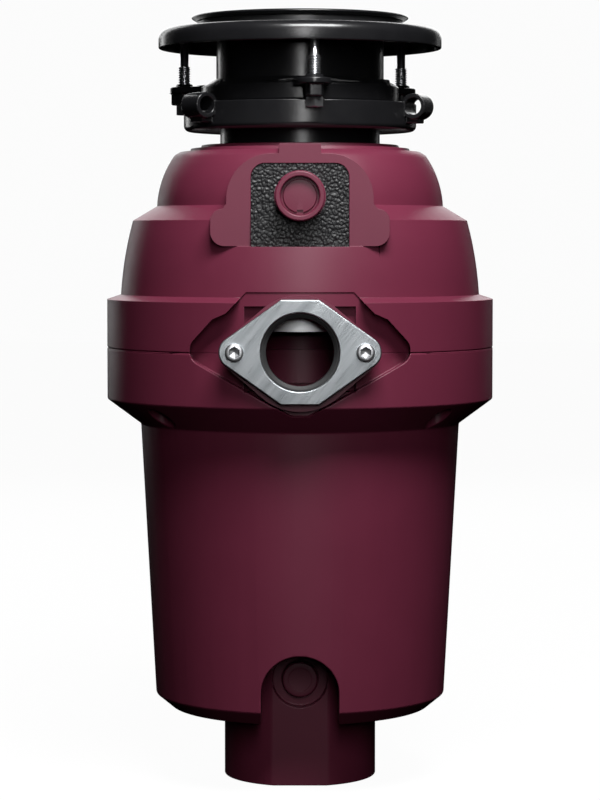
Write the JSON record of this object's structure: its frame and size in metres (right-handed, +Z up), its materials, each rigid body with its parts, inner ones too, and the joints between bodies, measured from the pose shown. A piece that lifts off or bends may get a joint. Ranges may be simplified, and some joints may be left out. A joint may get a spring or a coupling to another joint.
{
  "type": "kitchen garbage disposal",
  "caption": "Under-sink kitchen garbage disposal with a twist-lock sink mount, side discharge outlet, grinding chamber and motor in a two-part moulded housing.",
  "frame": {"origin": "centre of the flat foot that the disposal stands on, on the motor axis", "axes": "+Z up along the motor axis to the sink; -Y is the front, where the discharge outlet faces; +X to the right of that view"},
  "size_m": [0.202, 0.2097, 0.3977],
  "materials": {
    "maroon_moulding": "satin injection-moulded plastic, burgundy",
    "black_mount": "gloss black coated mount parts",
    "black_rubber": "moulded rubber",
    "grained_panel": "black panel with leather grain",
    "brushed_plate": "diagonally brushed steel",
    "zinc_fastener": "bright zinc-plated steel",
    "stainless": "stainless steel",
    "cast_alloy": "die-cast aluminium",
    "lamination": "stacked electrical steel",
    "copper_coil": "varnished copper winding",
    "bronze_bush": "sintered bronze",
    "foam": "sound-deadening foam",
    "electrical": "phenolic and thermoplastic cases"
  },
  "bodies": {
    "housing": {"sink_flange": "black_mount", "sink_gasket": "black_rubber", "support_ring": "black_mount", "snap_ring": "zinc_fastener", "upper_mounting_ring": "black_mount", "cushion_mount": "black_rubber", "upper_shell": "maroon_moulding", "lower_shell": "maroon_moulding", "base_housing": "maroon_moulding", "inlet_panel": "grained_panel", "dishwasher_inlet": "maroon_moulding", "inlet_knockout": "maroon_moulding", "discharge_plate": "brushed_plate", "discharge_gasket": "black_rubber", "discharge_screws": "zinc_fastener", "housing_screws": "zinc_fastener", "hopper": "black_mount", "drain_chamber": "maroon_moulding", "chamber_gasket": "black_rubber", "chamber_bolts": "zinc_fastener", "grind_ring": "stainless", "shaft_seal": "black_rubber", "upper_end_frame": "cast_alloy", "lower_end_frame": "cast_alloy", "motor_can": "stainless", "through_bolts": "zinc_fastener", "stator_core": "lamination", "stator_windings": "copper_coil", "upper_bearing": "bronze_bush", "lower_bearing": "bronze_bush", "upper_insulation": "foam", "lower_insulation": "foam", "start_capacitor": "electrical", "start_relay": "electrical", "overload_protector": "electrical", "reset_spring": "zinc_fastener", "terminal_block": "electrical", "ground_screw": "zinc_fastener", "terminal_cover": "maroon_moulding", "cover_screws": "zinc_fastener", "base_screws": "zinc_fastener"},
    "rotor": {"shaft": "stainless", "rotor_core": "lamination", "rotor_cage": "cast_alloy", "turntable": "stainless", "turntable_nut": "zinc_fastener", "slinger": "black_rubber", "lug_pins": "stainless"},
    "lug_one": {"swivel_lug_1": "stainless"},
    "lug_two": {"swivel_lug_2": "stainless"},
    "button": {"reset_button": "maroon_moulding"},
    "lock_ring": {"lock_ring": "black_mount"},
    "screw_one": {"mounting_screw_1": "zinc_fastener"},
    "screw_two": {"mounting_screw_2": "zinc_fastener"},
    "screw_three": {"mounting_screw_3": "zinc_fastener"},
    "splash_guard": {"splash_guard": "black_rubber"}
  },
  "joints": [
    {"name": "rotor_spin", "type": "hinge", "parent": "housing", "child": "rotor", "pos_m": [0, 0, 0.15], "axis": [0, 0, 1], "continuous": true},
    {"name": "lug_one_swivel", "type": "hinge", "parent": "rotor", "child": "lug_one", "pos_m": [0.04323, 0.01573, 0.252], "axis": [0, 0, 1], "continuous": true},
    {"name": "lug_two_swivel", "type": "hinge", "parent": "rotor", "child": "lug_two", "pos_m": [-0.04323, -0.01573, 0.252], "axis": [0, 0, 1], "continuous": true},
    {"name": "reset_press", "type": "slide", "parent": "housing", "child": "button", "axis": [0, 1, 0], "range_m": [0, 0.0025], "stiffness_N_per_m": 600, "deforming": ["reset_spring"]},
    {"name": "lock_twist", "type": "hinge", "parent": "housing", "child": "lock_ring", "pos_m": [0, 0, 0.345], "axis": [0, 0, 1], "range_deg": [-35, 0]},
    {"name": "screw_one_travel", "type": "slide", "parent": "housing", "child": "screw_one", "axis": [0, 0, -1], "range_m": [0, 0.012]},
    {"name": "screw_two_travel", "type": "slide", "parent": "housing", "child": "screw_two", "axis": [0, 0, -1], "range_m": [0, 0.012]},
    {"name": "screw_three_travel", "type": "slide", "parent": "housing", "child": "screw_three", "axis": [0, 0, -1], "range_m": [0, 0.012]},
    {"name": "guard_lift", "type": "slide", "parent": "housing", "child": "splash_guard", "axis": [0, 0, 1], "range_m": [0, 0.045]}
  ]
}
